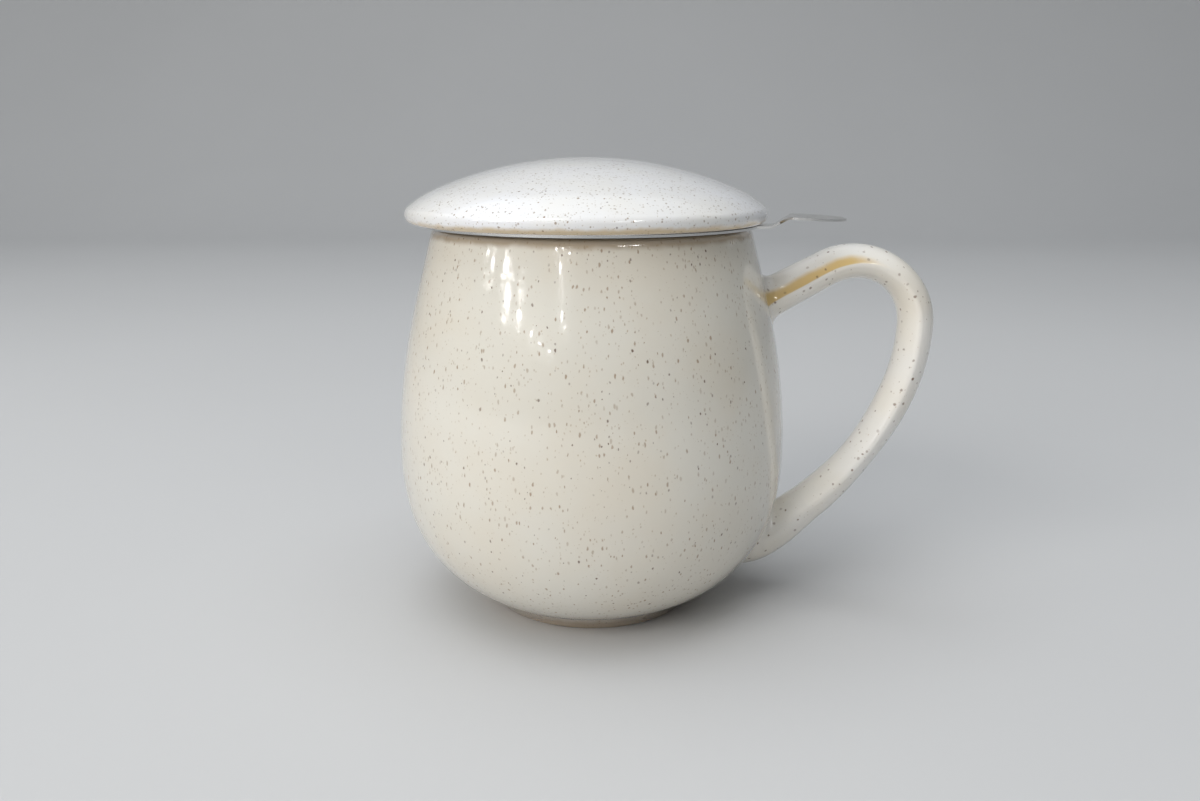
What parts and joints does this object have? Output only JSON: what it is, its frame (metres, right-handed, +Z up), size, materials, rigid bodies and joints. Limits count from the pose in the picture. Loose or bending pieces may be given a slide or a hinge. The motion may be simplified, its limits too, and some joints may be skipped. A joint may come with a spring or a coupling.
{
  "type": "lidded tea mug with infuser",
  "caption": "Speckled stoneware mug with a looped handle, a loose domed lid and a lift-out steel infuser basket with a thumb tab.",
  "frame": {"origin": "centre of the foot ring's flat face, on the vessel's axis, at the table", "axes": "+Z up along the vessel's axis, +X towards the handle, +Y away from the pictured side"},
  "size_m": [0.1244, 0.09, 0.1037],
  "materials": {
    "speckled_glaze": "gloss, speckled",
    "handle_glaze": "gloss, amber where the glaze breaks on the ridge",
    "lid_glaze": "gloss, speckled, tan at the edge",
    "polished_steel": "polished",
    "brushed_steel": "satin, slit",
    "base_steel": "satin, slit"
  },
  "bodies": {
    "mug": {"mug_body": "speckled_glaze", "handle": "handle_glaze"},
    "infuser": {"infuser_rim": "polished_steel", "infuser_sleeve": "brushed_steel", "infuser_base": "base_steel"},
    "lid": {"lid": "lid_glaze"}
  },
  "joints": [
    {"name": "infuser_lift", "type": "slide", "parent": "mug", "child": "infuser", "axis": [0, 0, 1], "range_m": [0, 0.085]},
    {"name": "lid_lift", "type": "slide", "parent": "infuser", "child": "lid", "axis": [0, 0, 1], "range_m": [0, 0.06]}
  ]
}
